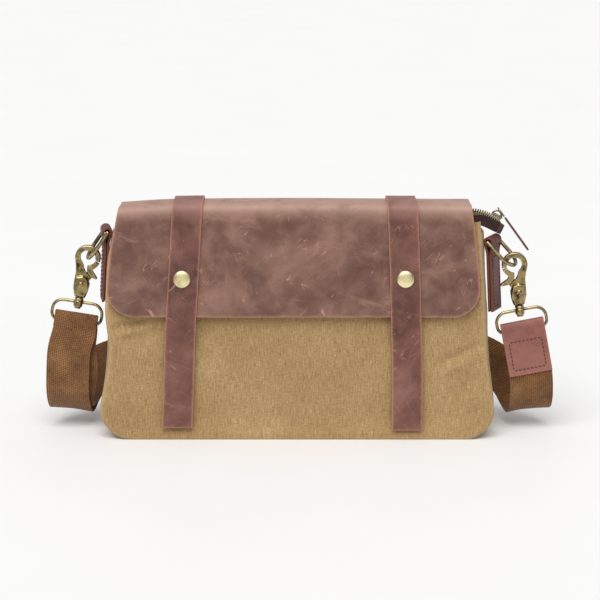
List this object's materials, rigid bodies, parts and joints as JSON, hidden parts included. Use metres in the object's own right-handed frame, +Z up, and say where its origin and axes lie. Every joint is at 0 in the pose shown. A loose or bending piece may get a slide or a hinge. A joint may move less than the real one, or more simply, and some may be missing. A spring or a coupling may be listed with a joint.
{
  "type": "messenger bag",
  "caption": "Small canvas messenger bag with a leather flap, snap straps, a zipped mouth and a clip-on webbing shoulder strap.",
  "frame": {"origin": "middle of the flat bottom of the bag, on the surface it stands on", "axes": "+Z up; the front with the flap faces -Y; +X to the right in a front view, towards the zip's free end"},
  "size_m": [0.4366, 0.1422, 0.2013],
  "materials": {
    "canvas": "waxed canvas, khaki tan, visible weave",
    "lining": "plain woven lining",
    "flap_leather": "oiled pull-up leather, brown, scratched",
    "tab_leather": "oiled pull-up leather, reddish brown",
    "webbing": "cotton webbing, brown, coarse weave",
    "zip_tape": "woven zip tape, dark brown",
    "antique_brass": "antique brass, satin",
    "pale_brass": "polished pale brass"
  },
  "bodies": {
    "root": {"front_panel": "canvas", "back_panel": "canvas", "side_gusset": "canvas", "lining_pouch": "lining", "flap_back": "flap_leather", "strap_left_back": "flap_leather", "strap_right_back": "flap_leather", "snap_stud_left": "antique_brass", "snap_stud_right": "antique_brass", "zip_tape_front": "zip_tape", "zip_tape_back": "zip_tape", "zip_teeth_front": "antique_brass", "zip_teeth_back": "antique_brass", "zip_tail_end": "tab_leather", "side_tab_left": "tab_leather", "side_tab_right": "tab_leather"},
    "flap_top": {"flap_top": "flap_leather", "strap_left_top": "flap_leather", "strap_right_top": "flap_leather"},
    "flap_front": {"flap_front": "flap_leather", "strap_left_front": "flap_leather", "strap_right_front": "flap_leather", "snap_cap_left": "pale_brass", "snap_cap_right": "pale_brass", "snap_socket_left": "antique_brass", "snap_socket_right": "antique_brass"},
    "zip_slider": {"zip_slider": "antique_brass"},
    "zip_pull": {"zip_pull_ring": "antique_brass", "zip_pull_tab": "tab_leather"},
    "d_ring_left": {"d_ring_left": "antique_brass"},
    "d_ring_right": {"d_ring_right": "antique_brass"},
    "shoulder_strap": {"strap_webbing": "webbing", "strap_end_leather": "tab_leather", "strap_loop_left": "antique_brass", "strap_loop_right": "antique_brass"},
    "adjuster": {"strap_adjuster": "antique_brass"},
    "hook_left": {"hook_body_left": "antique_brass", "hook_rivet_left": "pale_brass"},
    "hook_right": {"hook_body_right": "antique_brass", "hook_rivet_right": "pale_brass"},
    "trigger_left": {"hook_trigger_left": "antique_brass"},
    "trigger_right": {"hook_trigger_right": "antique_brass"}
  },
  "joints": [
    {"name": "flap_open", "type": "hinge", "parent": "root", "child": "flap_top", "pos_m": [0, 0.02104, 0.20125], "axis": [-1, 0, 0], "range_deg": [0, 170]},
    {"name": "flap_fold", "type": "hinge", "parent": "flap_top", "child": "flap_front", "pos_m": [0, -0.02339, 0.20125], "axis": [-1, 0, 0], "range_deg": [0, 80]},
    {"name": "zip_slide", "type": "slide", "parent": "root", "child": "zip_slider", "axis": [-0.9063, 0, 0.4226], "range_m": [0, 0.003]},
    {"name": "zip_pull_swing", "type": "hinge", "parent": "zip_slider", "child": "zip_pull", "pos_m": [0.17122, 0, 0.19156], "axis": [0, -1, 0], "range_deg": [0, 30]},
    {"name": "d_ring_left_swing", "type": "hinge", "parent": "root", "child": "d_ring_left", "pos_m": [-0.163, -0.0035, 0.1742], "axis": [-0.1564, 0.9877, 0], "range_deg": [0, 4]},
    {"name": "d_ring_right_swing", "type": "hinge", "parent": "root", "child": "d_ring_right", "pos_m": [0.1656, -0.0035, 0.1656], "axis": [-0.4067, -0.9135, 0], "range_deg": [0, 4]},
    {"name": "strap_swing", "type": "hinge", "parent": "root", "child": "shoulder_strap", "pos_m": [0.184, -0.01169, 0.14615], "axis": [0.9998, -0.0157, -0.0141], "range_deg": [0, 14]},
    {"name": "adjuster_slide", "type": "slide", "parent": "shoulder_strap", "child": "adjuster", "axis": [1, 0, 0], "range_m": [-0.004, 0.03]},
    {"name": "hook_left_swivel", "type": "hinge", "parent": "shoulder_strap", "child": "hook_left", "pos_m": [-0.17886, -0.00601, 0.15126], "axis": [-0.225, 0, -0.9744], "range_deg": [-10, 10]},
    {"name": "hook_right_swivel", "type": "hinge", "parent": "shoulder_strap", "child": "hook_right", "pos_m": [0.184, -0.01169, 0.14615], "axis": [0.1305, 0, -0.9914], "range_deg": [-10, 10]},
    {"name": "trigger_left_press", "type": "hinge", "parent": "hook_left", "child": "trigger_left", "pos_m": [-0.18519, -0.00601, 0.1283], "axis": [0, 1, 0], "range_deg": [0, 7], "stiffness_Nm_per_rad": 0.05, "springref_deg": -17.19},
    {"name": "trigger_right_press", "type": "hinge", "parent": "hook_right", "child": "trigger_right", "pos_m": [0.1881, -0.01169, 0.12268], "axis": [0, -1, 0], "range_deg": [0, 7], "stiffness_Nm_per_rad": 0.05, "springref_deg": -17.19}
  ]
}
